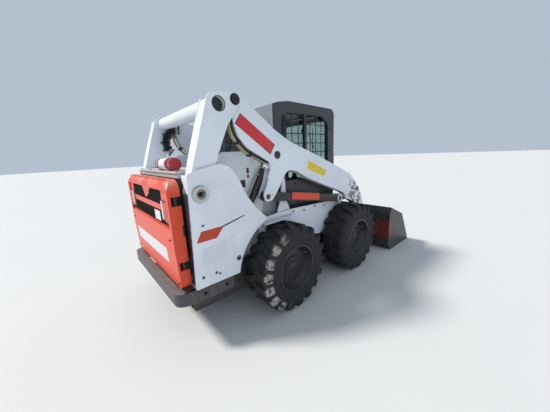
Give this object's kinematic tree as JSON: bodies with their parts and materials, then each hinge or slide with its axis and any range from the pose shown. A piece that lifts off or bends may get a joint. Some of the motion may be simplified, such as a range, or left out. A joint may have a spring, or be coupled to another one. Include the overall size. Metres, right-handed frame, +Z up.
{
  "type": "skid steer loader",
  "caption": "White and orange skid steer loader with a vertical-lift arm linkage, enclosed dark cab, deep-dish black wheels and a wide earth bucket.",
  "frame": {"origin": "midway between the tailgate end and the bucket's lip, on the ground between the wheels", "axes": "+X forward towards the bucket, +Y to the driver's left, +Z up"},
  "size_m": [3.7, 1.882, 2.0054],
  "materials": {
    "white_paint": "satin",
    "orange_paint": "satin",
    "charcoal_paint": "satin",
    "grey_paint": "matte",
    "black_paint": "satin",
    "black_steel": "matte",
    "engine_metal": "matte",
    "pin_steel": "satin",
    "red_paint": "gloss",
    "grille_black": "matte",
    "clear_glass": "gloss",
    "black_vinyl": "matte",
    "black_plastic": "matte",
    "chrome_rod": "gloss",
    "bucket_steel": "matte",
    "worn_edge": "matte",
    "tyre_rubber": "matte",
    "lamp_red": "gloss"
  },
  "bodies": {
    "chassis": {"main_frame": "black_steel", "axle_hubs": "black_steel", "engine_block": "engine_metal", "cooler": "black_steel", "side_panel_right": "white_paint", "side_panel_left": "white_paint", "lower_body_right": "white_paint", "lower_body_left": "white_paint", "frame_pins": "pin_steel", "rear_bumper": "black_steel", "rear_deck": "black_steel", "fire_extinguisher": "red_paint"},
    "tailgate": {"tailgate": "orange_paint", "tailgate_grille": "grille_black", "tail_lamps": "lamp_red"},
    "engine_cover": {"engine_cover": "white_paint"},
    "cab": {"cab_frame": "charcoal_paint", "cab_rear": "grey_paint", "side_windows": "clear_glass", "window_screens": "grille_black", "rear_window": "clear_glass", "seat": "black_vinyl", "controls": "black_plastic"},
    "cab_door": {"cab_door": "charcoal_paint", "door_glass": "clear_glass"},
    "rear_links": {"rear_links": "white_paint", "link_top_pins": "pin_steel"},
    "lift_arms": {"lift_arm_right": "white_paint", "lift_arm_left": "white_paint", "arm_cross_member": "white_paint"},
    "control_links": {"control_links": "black_paint", "arm_support": "orange_paint"},
    "lift_barrels": {"lift_barrels": "black_paint"},
    "lift_rods": {"lift_rods": "chrome_rod"},
    "tilt_barrels": {"tilt_barrels": "black_paint"},
    "tilt_rods": {"tilt_rods": "chrome_rod"},
    "bucket": {"coupler": "black_steel", "bucket": "bucket_steel", "cutting_edge": "worn_edge"},
    "wheel_rear_left": {"tyre_rear_left": "tyre_rubber", "rim_rear_left": "black_paint"},
    "wheel_rear_right": {"tyre_rear_right": "tyre_rubber", "rim_rear_right": "black_paint"},
    "wheel_front_left": {"tyre_front_left": "tyre_rubber", "rim_front_left": "black_paint"},
    "wheel_front_right": {"tyre_front_right": "tyre_rubber", "rim_front_right": "black_paint"}
  },
  "joints": [
    {"name": "lift", "type": "hinge", "parent": "rear_links", "child": "lift_arms", "pos_m": [-1.233, 0, 1.905], "axis": [0, -1, 0], "range_deg": [0, 51.54]},
    {"name": "rear_link_swing", "type": "hinge", "parent": "chassis", "child": "rear_links", "pos_m": [-1.6, 0, 1.227], "axis": [0, -1, 0], "range_deg": [0, 10.1]},
    {"name": "control_link_swing", "type": "hinge", "parent": "chassis", "child": "control_links", "pos_m": [0.259, 0, 0.901], "axis": [0, 1, 0], "range_deg": [0, 41.01]},
    {"name": "lift_barrel_swing", "type": "hinge", "parent": "chassis", "child": "lift_barrels", "pos_m": [-1.33, 0, 0.598], "axis": [0, -1, 0], "range_deg": [0, 11.07]},
    {"name": "lift_rod_slide", "type": "slide", "parent": "lift_barrels", "child": "lift_rods", "axis": [0.5148, 0, 0.8573], "range_m": [0, 0.60972]},
    {"name": "bucket_tilt", "type": "hinge", "parent": "lift_arms", "child": "bucket", "pos_m": [0.945, 0, 0.215], "axis": [0, -1, 0], "range_deg": [-100, 28]},
    {"name": "tilt_barrel_swing", "type": "hinge", "parent": "lift_arms", "child": "tilt_barrels", "pos_m": [0.62, 0, 0.985], "axis": [0, -1, 0], "range_deg": [-2.25, 8.01]},
    {"name": "tilt_rod_slide", "type": "slide", "parent": "tilt_barrels", "child": "tilt_rods", "axis": [0.5089, 0, -0.8608], "range_m": [-0.07752, 0.27556]},
    {"name": "tailgate_swing", "type": "hinge", "parent": "chassis", "child": "tailgate", "pos_m": [-1.75, -0.6, 0.9], "axis": [0, 0, 1], "range_deg": [0, 90]},
    {"name": "engine_cover_lift", "type": "hinge", "parent": "chassis", "child": "engine_cover", "pos_m": [-1.345, 0, 1.374], "axis": [0, 1, 0], "range_deg": [0, 45]},
    {"name": "cab_tilt", "type": "hinge", "parent": "chassis", "child": "cab", "pos_m": [-0.74, 0, 0.735], "axis": [0, -1, 0], "range_deg": [0, 30]},
    {"name": "cab_door_swing", "type": "hinge", "parent": "cab", "child": "cab_door", "pos_m": [0.346, 0.441, 1.4], "axis": [0, 0, 1], "range_deg": [0, 90]},
    {"name": "wheel_rear_left_spin", "type": "hinge", "parent": "chassis", "child": "wheel_rear_left", "pos_m": [-0.81, 0.7515, 0.419], "axis": [0, 1, 0], "continuous": true},
    {"name": "wheel_rear_right_spin", "type": "hinge", "parent": "chassis", "child": "wheel_rear_right", "pos_m": [-0.81, -0.7515, 0.419], "axis": [0, 1, 0], "continuous": true},
    {"name": "wheel_front_left_spin", "type": "hinge", "parent": "chassis", "child": "wheel_front_left", "pos_m": [0.313, 0.7515, 0.419], "axis": [0, 1, 0], "continuous": true},
    {"name": "wheel_front_right_spin", "type": "hinge", "parent": "chassis", "child": "wheel_front_right", "pos_m": [0.313, -0.7515, 0.419], "axis": [0, 1, 0], "continuous": true}
  ],
  "couplings": [
    {"joint": "rear_link_swing", "follows": "lift", "ratio": 0.19573},
    {"joint": "control_link_swing", "follows": "lift", "ratio": 0.79553},
    {"joint": "lift_barrel_swing", "follows": "lift", "ratio": 0.21468},
    {"joint": "lift_rod_slide", "follows": "lift", "m_per_rad": 0.67728},
    {"joint": "tilt_barrel_swing", "follows": "bucket_tilt", "ratio": -0.08},
    {"joint": "tilt_rod_slide", "follows": "bucket_tilt", "m_per_rad": -0.1576}
  ]
}
